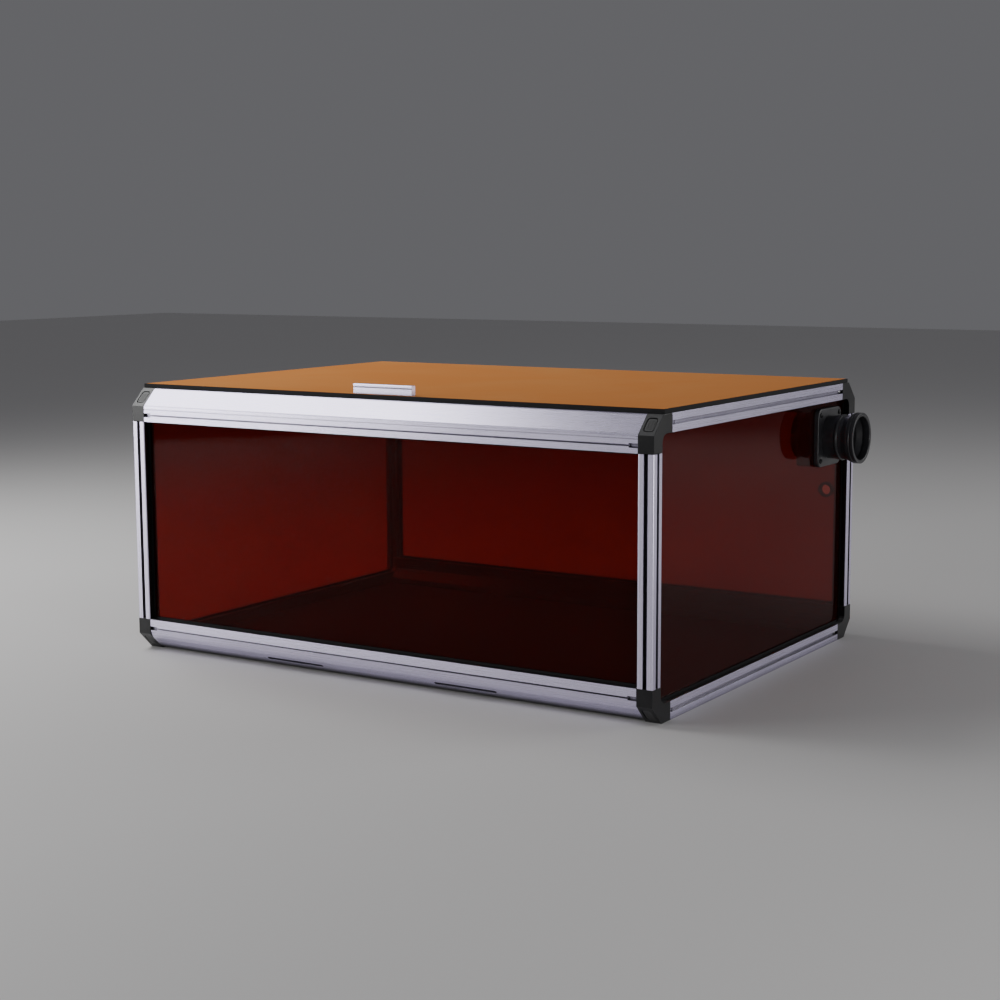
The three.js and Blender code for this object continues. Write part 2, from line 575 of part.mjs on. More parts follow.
// Duct adapter outside the wall: rounded plate with a pipe, a bead and a flared mouth.
{
  const plate = prism(roundedRectangle(...axisYZ, PLATE.width, PLATE.height, PLATE.radius, 5), 'x',
    PLATE_IN, PLATE_OUT, [circle(...axisYZ, DUCT.bore, 36)]);
  const at = (offset) => PLATE_IN + offset;
  const wall = DUCT.mouth - (DUCT.radius - DUCT.bore);
  const pipe = turnedAboutX([
    [DUCT.bore, at(1)], [DUCT.radius, at(1)], [DUCT.radius, at(23)], [DUCT.bead, at(23.8)],
    [DUCT.bead, at(26)], [DUCT.radius, at(26.8)], [DUCT.radius, at(32)],
    [DUCT.mouth, at(39)], [DUCT.mouth, at(DUCT.length)], [wall, at(DUCT.length)],
    [wall, at(39)], [DUCT.bore, at(32)],
  ], ...axisYZ, 36);
  const holes = fanScrews.map((spot) => screwHole(PLATE_IN - 1, PLATE_OUT + 1, spot));
  add('duct_adapter', cut(join(plate, pipe), ...holes), 'fan');

  // Hose collar on the mouth, where the exhaust hose is pushed on.
  const start = at(DUCT.length) + GAP;
  const end = start + COLLAR.length;
  add('duct_collar', turnedAboutX([
    [COLLAR.bore, start], [COLLAR.radius, start], [COLLAR.radius, end - 1],
    [COLLAR.radius - 1, end], [COLLAR.bore + 0.8, end], [COLLAR.bore, end - 0.8],
  ], ...axisYZ, 36), 'fan');

  fanScrews.forEach((spot, i) => {
    const head = PLATE_OUT + GAP;
    const shank = rod('x', SCREW.shank + 0.3, HOUSING_IN + 4, head + 0.5, spot, 12);
    const cap = rod('x', SCREW.head + 0.6, head, head + 2, spot, 16);
    add(`fan_screw_${i + 1}`, join(shank, cap), 'steel');
  });
}

// The part's origin is under the middle of everything, the duct included.
const DUCT_END = PLATE_IN + DUCT.length + GAP + COLLAR.length;
enclosure.position.x = -(DUCT_END - HALF_W) / 2;

export default enclosure;
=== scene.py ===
# %% [markdown]
# # A desktop laser-cutter enclosure, dressed in Blender
# The CAD model already gives every piece its true size and place. This lesson starts from that
# fixed frame and adds what CAD leaves out: softened edges, turned and bladed fan parts, screw
# heads, and materials that behave like anodised aluminium, tinted acrylic, rubber and plastic.

# %% Load the frame
import json
import math
import bmesh
import bpy
from mathutils import Matrix, Vector


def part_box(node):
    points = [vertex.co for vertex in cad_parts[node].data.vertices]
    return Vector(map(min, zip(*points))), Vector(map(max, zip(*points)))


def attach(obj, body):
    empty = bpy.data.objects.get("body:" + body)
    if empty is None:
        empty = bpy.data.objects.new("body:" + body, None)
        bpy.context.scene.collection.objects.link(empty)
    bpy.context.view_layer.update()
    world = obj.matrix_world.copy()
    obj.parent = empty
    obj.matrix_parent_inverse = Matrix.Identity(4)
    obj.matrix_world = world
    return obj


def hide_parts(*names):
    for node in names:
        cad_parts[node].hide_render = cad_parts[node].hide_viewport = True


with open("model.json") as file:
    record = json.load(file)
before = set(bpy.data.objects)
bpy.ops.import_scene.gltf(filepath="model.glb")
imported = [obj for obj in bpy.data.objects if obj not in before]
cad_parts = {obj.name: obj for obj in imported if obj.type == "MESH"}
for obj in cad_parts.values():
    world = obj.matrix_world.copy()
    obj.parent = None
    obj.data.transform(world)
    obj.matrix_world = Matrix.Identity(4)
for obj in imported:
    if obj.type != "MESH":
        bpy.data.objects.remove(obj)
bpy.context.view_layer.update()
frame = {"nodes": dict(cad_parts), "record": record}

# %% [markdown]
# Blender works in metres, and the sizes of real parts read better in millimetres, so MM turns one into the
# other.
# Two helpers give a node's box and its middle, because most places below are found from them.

MM = 0.001
nodes = frame["nodes"]
bodies = frame["record"]["behaviour"]["bodies"]
body_of = {node: body for body, group in bodies.items() for node in group}


def box_of(node):
    low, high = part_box(node)
    return Vector(low), Vector(high)


def centre(node):
    low, high = box_of(node)
    return (low + high) / 2


# %% [markdown]
# ## Camera
# A camera is placed by a matrix whose columns are its right, up and backward directions and its
# position. This one stands in front of the fan side, slightly above the lid, with a 65 mm lens,
# which flattens the perspective as in a product picture.

# %% Place the camera
camera = bpy.data.objects.new("camera", bpy.data.cameras.new("camera"))
bpy.context.collection.objects.link(camera)
camera.data.lens = 65.416
camera.data.sensor_width = 36
right = Vector((0.84238, 0.53886, -0.00459))
up = Vector((-0.07087, 0.11922, 0.99034))
back = Vector((0.53420, -0.83391, 0.13862))
spot = Vector((1.27083, -2.01457, 0.52689))
camera.matrix_world = Matrix((
    (right.x, up.x, back.x, spot.x),
    (right.y, up.y, back.y, spot.y),
    (right.z, up.z, back.z, spot.z),
    (0, 0, 0, 1)))
bpy.context.scene.camera = camera
print("camera at", [round(v, 3) for v in spot])

# %% [markdown]
# ## Small helpers for shader nodes
# A material is a graph. Three helpers keep each recipe short: one adds a node and fills in its
# sockets, one starts a reusable node group with named inputs and outputs, and one links what the
# group hands out.

# %% Helpers for node graphs
def place(tree, kind, inputs=None, **settings):
    node = tree.nodes.new(kind)
    for name, value in settings.items():
        setattr(node, name, value)
    for socket, value in (inputs or {}).items():
        if isinstance(value, bpy.types.NodeSocket):
            tree.links.new(value, node.inputs[socket])
        else:
            node.inputs[socket].default_value = value
    return node


def start_group(name, inputs, outputs):
    group = bpy.data.node_groups.new(name, "ShaderNodeTree")
    for label, kind, value in inputs:
        socket = group.interface.new_socket(label, in_out="INPUT", socket_type=kind)
        if value is not None:
            socket.default_value = value
    for label, kind in outputs:
        group.interface.new_socket(label, in_out="OUTPUT", socket_type=kind)
    return group, group.nodes.new("NodeGroupInput"), group.nodes.new("NodeGroupOutput")


def hand_out(group, result, sockets):
    for name, socket in sockets.items():
        group.links.new(socket, result.inputs[name])


FLOAT, COLOR, VECTOR = "NodeSocketFloat", "NodeSocketColor", "NodeSocketVector"
print("helpers ready")

# %% [markdown]
# ## Shared effect: drawn lines
# Aluminium profile is pushed through a die, which leaves very fine lines along its length. Noise
# that is stretched along one direction gives such lines. The stretch is an input, because each
# profile runs along its own axis.

# %% Drawn lines group
drawn_lines, given, result = start_group(
    "drawn lines",
    [("Position", VECTOR, None), ("Stretch", VECTOR, (40, 900, 900)),
     ("Light", COLOR, (0.8, 0.8, 0.86, 1)),
     ("Dark", COLOR, (0.6, 0.6, 0.66, 1)), ("Base Roughness", FLOAT, 0.3)],
    [("Color", COLOR), ("Roughness", FLOAT), ("Height", FLOAT)])
laid = place(drawn_lines, "ShaderNodeVectorMath",
             {0: given.outputs["Position"], 1: given.outputs["Stretch"]}, operation="MULTIPLY")
lines = place(drawn_lines, "ShaderNodeTexNoise",
              {"Vector": laid.outputs[0], "Scale": 1.0, "Detail": 3.0, "Roughness": 0.6})
clouds = place(drawn_lines, "ShaderNodeTexNoise",
               {"Vector": given.outputs["Position"], "Scale": 9.0, "Detail": 2.0})
both = place(drawn_lines, "ShaderNodeMath",
             {0: lines.outputs["Fac"], 1: clouds.outputs["Fac"]}, operation="MULTIPLY")
tone = place(drawn_lines, "ShaderNodeMapRange",
             {"Value": both.outputs[0], "From Min": 0.14, "From Max": 0.38})
mixed = place(drawn_lines, "ShaderNodeMix",
              {0: tone.outputs[0], 6: given.outputs["Dark"], 7: given.outputs["Light"]}, data_type="RGBA")
rough = place(drawn_lines, "ShaderNodeMath",
              {0: lines.outputs["Fac"], 1: 0.16, 2: given.outputs["Base Roughness"]},
              operation="MULTIPLY_ADD")
hand_out(drawn_lines, result, {"Color": mixed.outputs[2], "Roughness": rough.outputs[0],
                               "Height": lines.outputs["Fac"]})
print("group:", drawn_lines.name)

# %% [markdown]
# ## Shared effect: moulded grain
# Moulded plastic and rubber have a fine grain and slightly uneven gloss, and a little dust settles
# on them. One group serves the corner blocks, the caps, the fan and the rubber, with its own
# values in each.

# %% Moulded grain group
moulded_grain, given, result = start_group(
    "moulded grain",
    [("Position", VECTOR, None), ("Scale", FLOAT, 900.0), ("Color", COLOR, (0.02, 0.02, 0.02, 1)),
     ("Dust", COLOR, (0.09, 0.09, 0.09, 1)), ("Dust Amount", FLOAT, 0.3), ("Base Roughness", FLOAT, 0.45)],
    [("Color", COLOR), ("Roughness", FLOAT), ("Height", FLOAT)])
grain = place(moulded_grain, "ShaderNodeTexNoise",
              {"Vector": given.outputs["Position"], "Scale": given.outputs["Scale"], "Detail": 3.0})
patches = place(moulded_grain, "ShaderNodeTexNoise",
                {"Vector": given.outputs["Position"], "Scale": 38.0, "Detail": 6.0, "Roughness": 0.65})
settled = place(moulded_grain, "ShaderNodeMapRange",
                {"Value": patches.outputs["Fac"], "From Min": 0.45, "From Max": 0.75,
                 "To Max": given.outputs["Dust Amount"]})
mixed = place(moulded_grain, "ShaderNodeMix",
              {0: settled.outputs[0], 6: given.outputs["Color"], 7: given.outputs["Dust"]}, data_type="RGBA")
rough = place(moulded_grain, "ShaderNodeMath",
              {0: patches.outputs["Fac"], 1: 0.18, 2: given.outputs["Base Roughness"]},
              operation="MULTIPLY_ADD")
hand_out(moulded_grain, result, {"Color": mixed.outputs[2], "Roughness": rough.outputs[0],
                                 "Height": grain.outputs["Fac"]})
print("group:", moulded_grain.name)

# %% [markdown]
# ## Shared effect: handled acrylic
# Clear sheet is never perfectly clean: wiping leaves broad soft smears and some fine dust. The
# smears change the gloss far more than the colour, so the group puts out both.

# %% Handled acrylic group
handled, given, result = start_group(
    "handled acrylic",
    [("Position", VECTOR, None), ("Clean", COLOR, (0.2, 0.02, 0.01, 1)),
     ("Hazy", COLOR, (0.3, 0.05, 0.03, 1)), ("Gloss", FLOAT, 0.04), ("Haze", FLOAT, 0.12)],
    [("Color", COLOR), ("Roughness", FLOAT), ("Height", FLOAT)])
wiped = place(handled, "ShaderNodeVectorMath",
              {0: given.outputs["Position"], 1: (5.0, 5.0, 11.0)}, operation="MULTIPLY")
smears = place(handled, "ShaderNodeTexNoise",
               {"Vector": wiped.outputs[0], "Scale": 1.0, "Detail": 5.0, "Distortion": 0.8})
dust = place(handled, "ShaderNodeTexNoise",
             {"Vector": given.outputs["Position"], "Scale": 420.0, "Detail": 2.0})
specks = place(handled, "ShaderNodeMapRange",
               {"Value": dust.outputs["Fac"], "From Min": 0.66, "From Max": 0.8, "To Max": 0.5})
soft = place(handled, "ShaderNodeMapRange",
             {"Value": smears.outputs["Fac"], "From Min": 0.4, "From Max": 0.75})
haze = place(handled, "ShaderNodeMath", {0: soft.outputs[0], 1: specks.outputs[0]}, operation="MAXIMUM")
mixed = place(handled, "ShaderNodeMix",
              {0: haze.outputs[0], 6: given.outputs["Clean"], 7: given.outputs["Hazy"]}, data_type="RGBA")
rough = place(handled, "ShaderNodeMath",
              {0: haze.outputs[0], 1: given.outputs["Haze"], 2: given.outputs["Gloss"]},
              operation="MULTIPLY_ADD")
hand_out(handled, result, {"Color": mixed.outputs[2], "Roughness": rough.outputs[0],
                           "Height": smears.outputs["Fac"]})
print("group:", handled.name)

# %% [markdown]
# ## Materials
# Each material keeps its own Principled shader. The group feeds it the colour, roughness and
# bump that change over the surface, and the plain numbers sit on the shader's own sockets.

# %% One function that dresses a Principled shader
def finish_with(name, group, values, bump, **plain):
    material = bpy.data.materials.new(name)
    material.use_nodes = True
    tree = material.node_tree
    shader = tree.nodes["Principled BSDF"]
    where = place(tree, "ShaderNodeTexCoord")
    effect = tree.nodes.new("ShaderNodeGroup")
    effect.node_tree = group
    tree.links.new(where.outputs["Object"], effect.inputs["Position"])
    for socket, value in values.items():
        effect.inputs[socket].default_value = value
    relief = place(tree, "ShaderNodeBump", {"Strength": bump, "Distance": 0.0002,
                                            "Height": effect.outputs["Height"]})
    tree.links.new(effect.outputs["Color"], shader.inputs["Base Color"])
    tree.links.new(effect.outputs["Roughness"], shader.inputs["Roughness"])
    tree.links.new(relief.outputs["Normal"], shader.inputs["Normal"])
    for socket, value in plain.items():
        shader.inputs[socket.replace("_", " ")].default_value = value
    return material


print("finish_with ready")

# %% [markdown]
# ## Painted light and shade laid over a finish
# Three effects paint light and shade into the colour by place. Slots and corners get painted shade,
# the faces that look into the enclosure get painted shade, and black plastic gets a painted lighter
# grey on the faces that look up, where the top light falls. Each could be painted by hand, but a rule
# keeps it right on every piece, so each effect works out a share between 0 and 1 and mixes a second colour
# in by that share.

# %% Painted shade in hollows and on inward faces, painted top light
def colour_of(material):
    shader = material.node_tree.nodes["Principled BSDF"]
    return shader.inputs["Base Color"].links[0].from_socket


def lay_over(material, share, under, over):
    """Mixes two colours by share and feeds the result to the shader."""
    tree = material.node_tree
    mixed = place(tree, "ShaderNodeMix", {0: share, 6: under, 7: over}, data_type="RGBA")
    tree.links.new(mixed.outputs[2], tree.nodes["Principled BSDF"].inputs["Base Color"])


SHADE = (0.01, 0.009, 0.013, 1)


def paint_shade_in_hollows(material, reach=0.012):
    """Painted shade: the colour falls off where little open space is near, as shade falls in slots and
    corners.
    """
    tree = material.node_tree
    open_space = place(tree, "ShaderNodeAmbientOcclusion", {"Distance": reach}, samples=8)
    light_left = place(tree, "ShaderNodeMapRange", {"Value": open_space.outputs["AO"], "From Min": 0.3,
                                                    "From Max": 0.85, "To Min": 0.02})
    lay_over(material, light_left.outputs[0], SHADE, colour_of(material))


def paint_inward_shade(material, middle, shade_colour):
    """Painted shade: darkens the faces that look towards the middle of the enclosure, standing for the shade
    inside it.
    """
    tree = material.node_tree
    surface = place(tree, "ShaderNodeNewGeometry")
    inward = place(tree, "ShaderNodeVectorMath", {0: middle, 1: surface.outputs["Position"]},
                   operation="SUBTRACT")
    unit = place(tree, "ShaderNodeVectorMath", {0: inward.outputs[0]}, operation="NORMALIZE")
    facing = place(tree, "ShaderNodeVectorMath", {0: unit.outputs[0], 1: surface.outputs["Normal"]},
                   operation="DOT_PRODUCT")
    share = place(tree, "ShaderNodeMapRange", {"Value": facing.outputs["Value"], "From Min": 0.05,
                                               "From Max": 0.3})
    lay_over(material, share.outputs[0], colour_of(material), shade_colour)


def paint_top_light(material, grey):
    """Painted light: turns the faces that look up towards a lighter grey, standing for the top light falling
    on them.
    """
    tree = material.node_tree
    surface = place(tree, "ShaderNodeNewGeometry")
    parts = place(tree, "ShaderNodeSeparateXYZ", {0: surface.outputs["Normal"]})
    share = place(tree, "ShaderNodeMapRange", {"Value": parts.outputs["Z"], "From Min": 0.3, "From Max": 0.7,
                                               "To Max": 0.8})
    lay_over(material, share.outputs[0], colour_of(material), grey)


print("three effects ready")

# %% [markdown]
# The profiles are satin, clear-anodised aluminium with a faint lilac cast. The same recipe is
# made three times for the frame, because the drawn lines run along x, y or z, and those three get
# painted shade on the faces that look into the enclosure. All four copies get painted shade in their slots
# and corners. The pull sits outside on the lid, so its own copy gets no inward painted shade.

# %% Anodised aluminium for each direction
ALUMINIUM_LIGHT = (0.81, 0.755, 0.98, 1)
ALUMINIUM_DARK = (0.75, 0.70, 0.91, 1)
# Colour of the painted shade on the faces that look into the enclosure.
INWARD_SHADE = (0.03, 0.026, 0.025, 1)
enclosure_middle = (box_of("rail_top_front")[0] + box_of("rail_bottom_rear")[1]) / 2


def anodised_metal(name, stretch):
    metal = finish_with(name, drawn_lines, {"Stretch": stretch, "Light": ALUMINIUM_LIGHT,
                                            "Dark": ALUMINIUM_DARK, "Base Roughness": 0.2},
                        0.03, Metallic=0.85)
    # Painted shade in the profile's slots and corners.
    paint_shade_in_hollows(metal)
    return metal


STRETCHES = {"x": (12, 2600, 2600), "y": (2600, 12, 2600), "z": (2600, 2600, 12)}
anodised = {axis: anodised_metal(f"anodised_along_{axis}", STRETCHES[axis]) for axis in STRETCHES}
# Painted shade on the frame metals' inward faces.
for material in anodised.values():
    paint_inward_shade(material, enclosure_middle, INWARD_SHADE)
pull_metal = anodised_metal("anodised_pull", STRETCHES["x"])
steel = finish_with("brushed_steel", drawn_lines,
                    {"Stretch": (30, 1800, 1800), "Light": (0.62, 0.62, 0.64, 1),
                     "Dark": (0.45, 0.45, 0.47, 1), "Base Roughness": 0.18}, 0.05, Metallic=1.0)
dark_steel = finish_with("dark_steel", drawn_lines,
                         {"Stretch": (900, 900, 900), "Light": (0.05, 0.05, 0.052, 1),
                          "Dark": (0.03, 0.03, 0.031, 1), "Base Roughness": 0.3}, 0.05, Metallic=0.9)
print("metals:", [m.name for m in anodised.values()], steel.name)

# %% [markdown]
# Black parts differ in gloss and grain: blocks are hard plastic with a sheen, the caps are paler
# and matt, the fan is smooth and satin, and rubber is the dullest.

# %% Plastics and rubber
block_plastic = finish_with("block_plastic", moulded_grain,
                            {"Color": (0.004, 0.004, 0.005, 1), "Dust": (0.02, 0.02, 0.021, 1),
                             "Dust Amount": 0.35, "Base Roughness": 0.22}, 0.12, Specular_IOR_Level=0.4)
# Painted light: the black blocks' upward faces get a lighter grey for the top light.
paint_top_light(block_plastic, (0.085, 0.085, 0.087, 1))
cap_plastic = finish_with("cap_plastic", moulded_grain,
                          {"Color": (0.035, 0.035, 0.036, 1), "Dust": (0.09, 0.09, 0.09, 1),
                           "Dust Amount": 0.4, "Base Roughness": 0.36}, 0.15)
fan_plastic = finish_with("fan_plastic", moulded_grain,
                          {"Color": (0.024, 0.024, 0.027, 1), "Dust": (0.06, 0.06, 0.065, 1),
                           "Dust Amount": 0.25, "Base Roughness": 0.22, "Scale": 1300.0}, 0.08)
rubber = finish_with("black_rubber", moulded_grain,
                     {"Color": (0.004, 0.004, 0.005, 1), "Dust": (0.02, 0.019, 0.018, 1),
                      "Dust Amount": 0.3, "Base Roughness": 0.55, "Scale": 1600.0}, 0.2,
                     Specular_IOR_Level=0.2)
floor_coat = finish_with("floor_coat", moulded_grain,
                         {"Color": (0.035, 0.024, 0.022, 1), "Dust": (0.09, 0.075, 0.07, 1),
                          "Dust Amount": 0.5, "Base Roughness": 0.3, "Scale": 500.0}, 0.08)
print("plastics:", block_plastic.name, cap_plastic.name, fan_plastic.name, rubber.name)

# %% [markdown]
# The walls are dark red acrylic that hides most of the inside, and the lid is amber acrylic that
# lets more light in. Both are real 3 mm sheets here, so light is bent and coloured by them. A
# part of the light is spread inside the sheet, which the share that isn't transmitted stands for.

# %% Tinted acrylic
wall_acrylic = finish_with("wall_acrylic", handled,
                           {"Clean": (0.38, 0.052, 0.040, 1), "Hazy": (0.41, 0.068, 0.052, 1),
                            "Gloss": 0.0, "Haze": 0.04}, 0.02, Transmission_Weight=0.97, IOR=1.13,
                           Specular_IOR_Level=0.4)
lid_acrylic = finish_with("lid_acrylic", handled,
                          {"Clean": (0.88, 0.31, 0.055, 1), "Hazy": (0.89, 0.35, 0.08, 1),
                           "Gloss": 0.05, "Haze": 0.08}, 0.02, Transmission_Weight=0.2, IOR=1.3,
                          Specular_IOR_Level=0.0, Coat_Weight=0.1, Coat_Roughness=0.05)
print("acrylic:", wall_acrylic.name, lid_acrylic.name)

# %% [markdown]
# ## Dress the CAD nodes
# Every node's name says what it is, so its material follows from the start of the name.

# %% Assign materials by name
def finish_for(node):
    if node in ("rail_top_left", "rail_top_right", "rail_bottom_left", "rail_bottom_right"):
        return anodised["y"]
    finishes = {"rail": anodised["x"], "post": anodised["z"], "corner": block_plastic,
                "cap": cap_plastic, "wall": wall_acrylic, "seal": rubber, "floor": floor_coat,
                "hinge": steel, "handle": steel, "cable": rubber, "fan_screw": steel,
                "fan": fan_plastic, "duct": fan_plastic, "lid_panel": lid_acrylic,
                "lid_seal": rubber, "lid_handle": pull_metal}
    return next(material for start, material in finishes.items() if node.startswith(start))


for name, piece in nodes.items():
    piece.data.materials.clear()
    piece.data.materials.append(finish_for(name))
print("dressed", len(nodes), "nodes")

# %% [markdown]
# ## Softened edges
# No real edge is perfectly sharp: profile, moulded blocks and the pull have small radii that
# catch the light. A bevel needs clean flat faces, so the CAD mesh is copied, its doubled points
# are merged and its flat triangles are joined before the bevel. A drawn post has larger rounds on
# its four outer corners, which are cut first, and a cap is drawn in a little, so that the fine
# gap round it shows.

# %% Softened copies of CAD nodes
def tidy_copy(node, name):
    mesh = nodes[node].data.copy()
    work = bmesh.new()
    work.from_mesh(mesh)
    bmesh.ops.remove_doubles(work, verts=work.verts, dist=1e-6)
    bmesh.ops.dissolve_limit(work, angle_limit=math.radians(0.5), verts=work.verts, edges=work.edges)
    work.to_mesh(mesh)
    work.free()
    piece = bpy.data.objects.new(name, mesh)
    bpy.context.collection.objects.link(piece)
    return piece


def round_long_corners(piece, node, radius, segments=5):
    """Rounds the four outer corners of a post, which its slots leave untouched."""
    low, high = box_of(node)

    def at_corner(point):
        return (min(abs(point.x - low.x), abs(point.x - high.x)) < 1e-5
                and min(abs(point.y - low.y), abs(point.y - high.y)) < 1e-5)

    work = bmesh.new()
    work.from_mesh(piece.data)
    long_edges = [e for e in work.edges if at_corner(e.verts[0].co) and at_corner(e.verts[1].co)]
    bmesh.ops.bevel(work, geom=long_edges, offset=radius * MM, offset_type="OFFSET",
                    segments=segments, profile=0.5, affect="EDGES")
    work.to_mesh(piece.data)
    work.free()


def draw_in(piece, middle, share):
    """Shrinks a mesh about its middle, which leaves a dark gap round a cap."""
    about = Matrix.Translation(middle)
    piece.data.transform(about @ Matrix.Scale(share, 4) @ about.inverted())


def bake_modifiers(piece):
    evaluated = piece.evaluated_get(bpy.context.evaluated_depsgraph_get())
    mesh = bpy.data.meshes.new_from_object(evaluated)
    piece.modifiers.clear()
    piece.data = mesh


POST_CORNER = 1.6
CAP_SHARE = 0.92
SHARP = math.radians(35)


def soften(node, radius, name, segments=2):
    piece = tidy_copy(node, name)
    if node.startswith("post"):
        round_long_corners(piece, node, POST_CORNER)
    bevel = piece.modifiers.new("edge", "BEVEL")
    bevel.width = radius * MM
    bevel.segments = segments
    bevel.limit_method = "ANGLE"
    bevel.angle_limit = SHARP
    bevel.harden_normals = True
    bake_modifiers(piece)
    if node.startswith("cap"):
        draw_in(piece, centre(node), CAP_SHARE)
    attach(piece, body_of[node])
    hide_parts(node)
    return piece


SOFT_EDGES = {"rail": 0.35, "post": 0.35, "corner": 0.9, "cap": 0.35, "lid_handle": 0.5, "hinge": 0.3}
softened = []
for name in sorted(nodes):
    radius = next((r for start, r in SOFT_EDGES.items() if name.startswith(start)), None)
    if radius and not name.startswith("hinge_pin"):
        softened.append(soften(name, radius, f"{name}.soft"))
print("softened", len(softened), "pieces,", sum(len(p.data.polygons) for p in softened), "faces")

# %% [markdown]
# ## Geometry Nodes: a small toolkit
# Geometry Nodes build meshes by rule. Each tree here has named inputs, so one tree can make many
# sizes, and ends by making its instances real and giving them a material.

# %% Toolkit for geometry trees
def start_tree(name, inputs):
    tree = bpy.data.node_groups.new(name, "GeometryNodeTree")
    tree.interface.new_socket("Geometry", in_out="INPUT", socket_type="NodeSocketGeometry")
    for label, kind, value in inputs:
        tree.interface.new_socket(label, in_out="INPUT", socket_type=kind).default_value = value
    tree.interface.new_socket("Material", in_out="INPUT", socket_type="NodeSocketMaterial")
    tree.interface.new_socket("Geometry", in_out="OUTPUT", socket_type="NodeSocketGeometry")
    return tree, tree.nodes.new("NodeGroupInput")


def end_tree(tree, given, geometry):
    real = place(tree, "GeometryNodeRealizeInstances", {"Geometry": geometry})
    dressed = place(tree, "GeometryNodeSetMaterial", {"Geometry": real.outputs[0],
                                                      "Material": given.outputs["Material"]})
    out = tree.nodes.new("NodeGroupOutput")
    tree.links.new(dressed.outputs[0], out.inputs[0])


def grow(name, mesh, tree, values, material):
    piece = bpy.data.objects.new(name, mesh)
    bpy.context.collection.objects.link(piece)
    modifier = piece.modifiers.new("grow", "NODES")
    modifier.node_group = tree
    values = {**values, "Material": material}
    for item in tree.interface.items_tree:
        if item.in_out == "INPUT" and item.name in values:
            modifier[item.identifier] = values[item.name]
    bake_modifiers(piece)
    return piece


def spots(name, places):
    """Points that carry the direction each copy faces."""
    mesh = bpy.data.meshes.new(name)
    mesh.from_pydata([tuple(p) for p, _ in places], [], [])
    facing = mesh.attributes.new("facing", "FLOAT_VECTOR", "POINT")
    for i, (_, direction) in enumerate(places):
        facing.data[i].vector = direction
    return mesh


print("toolkit ready")

# %% [markdown]
# ## Screw heads
# The heads repeat, so one tree makes them: a dome cut flat underneath and crossed by two slots,
# placed on every point and turned to face the way that point says.

# %% Screw head tree
screw_tree, given = start_tree("screw heads", [("Radius", FLOAT, 0.003), ("Height", FLOAT, 0.0014),
                                               ("Slot", FLOAT, 0.0008)])
radius, height, slot = (given.outputs[n] for n in ("Radius", "Height", "Slot"))
ball = place(screw_tree, "GeometryNodeMeshUVSphere", {"Segments": 20, "Rings": 10, "Radius": radius})
ratio = place(screw_tree, "ShaderNodeMath", {0: height, 1: radius}, operation="DIVIDE")
squash = place(screw_tree, "ShaderNodeCombineXYZ", {"X": 1.0, "Y": 1.0, "Z": ratio.outputs[0]})
dome = place(screw_tree, "GeometryNodeTransform", {"Geometry": ball.outputs[0], "Scale": squash.outputs[0]})
wide = place(screw_tree, "ShaderNodeMath", {0: radius, 1: 1.25}, operation="MULTIPLY")
bar_size = place(screw_tree, "ShaderNodeCombineXYZ", {"X": wide.outputs[0], "Y": slot, "Z": height})
bar = place(screw_tree, "GeometryNodeMeshCube", {"Size": bar_size.outputs[0]})
raised = place(screw_tree, "ShaderNodeCombineXYZ", {"Z": height})
along = place(screw_tree, "GeometryNodeTransform",
              {"Geometry": bar.outputs[0], "Translation": raised.outputs[0]})
across = place(screw_tree, "GeometryNodeTransform",
               {"Geometry": bar.outputs[0], "Translation": raised.outputs[0],
                "Rotation": (0, 0, math.pi / 2)})
base_size = place(screw_tree, "ShaderNodeMath", {0: radius, 1: 3.0}, operation="MULTIPLY")
under = place(screw_tree, "GeometryNodeMeshCube", {"Size": base_size.outputs[0]})
lowered = place(screw_tree, "ShaderNodeMath", {0: base_size.outputs[0], 1: -0.5}, operation="MULTIPLY")
drop = place(screw_tree, "ShaderNodeCombineXYZ", {"Z": lowered.outputs[0]})
below = place(screw_tree, "GeometryNodeTransform",
              {"Geometry": under.outputs[0], "Translation": drop.outputs[0]})
carved = place(screw_tree, "GeometryNodeMeshBoolean", operation="DIFFERENCE")
screw_tree.links.new(dome.outputs[0], carved.inputs[0])
for tool in (below, along, across):
    screw_tree.links.new(tool.outputs[0], carved.inputs[1])
facing = place(screw_tree, "GeometryNodeInputNamedAttribute", {"Name": "facing"}, data_type="FLOAT_VECTOR")
turn = place(screw_tree, "FunctionNodeAlignRotationToVector", {"Vector": facing.outputs[0]}, axis="Z")
heads = place(screw_tree, "GeometryNodeInstanceOnPoints", {"Points": given.outputs[0],
                                                           "Instance": carved.outputs[0],
                                                           "Rotation": turn.outputs[0]})
end_tree(screw_tree, given, heads.outputs[0])
print("tree:", screw_tree.name)

# %% [markdown]
# The four fan screws hold the duct plate, and small screws hold the hinge leaves and the rails'
# ends. Their places come from the CAD boxes, so they stay right if the frame changes.

# %% Screw heads on the frame and on the lid
SLOPE_IN = 22
LEAF_DOWN = 13
LEAF_TOP = 1.9
LEAF_SPACING = 22


def leaf_spots(side):
    """Three spots on the hinge leaf that lies on the rail's slope."""
    _, high = box_of("rail_top_rear")
    middle = centre(f"hinge_frame_leaf_{side}").x
    normal = Vector((0, 1, 1)).normalized()
    down = Vector((0, 1, -1)).normalized()
    arris = Vector((middle, high.y - SLOPE_IN * MM, high.z))
    row = arris + down * LEAF_DOWN * MM + normal * LEAF_TOP * MM
    return [(row + Vector((x * MM, 0, 0)), normal) for x in (-LEAF_SPACING, 0, LEAF_SPACING)]


FAN_HEAD_SINK = 2
duct_screws = []
for i in range(1, 5):
    low, high = box_of(f"fan_screw_{i}")
    spot = Vector((high.x - FAN_HEAD_SINK * MM, (low.y + high.y) / 2, (low.z + high.z) / 2))
    duct_screws.append((spot, (1, 0, 0)))

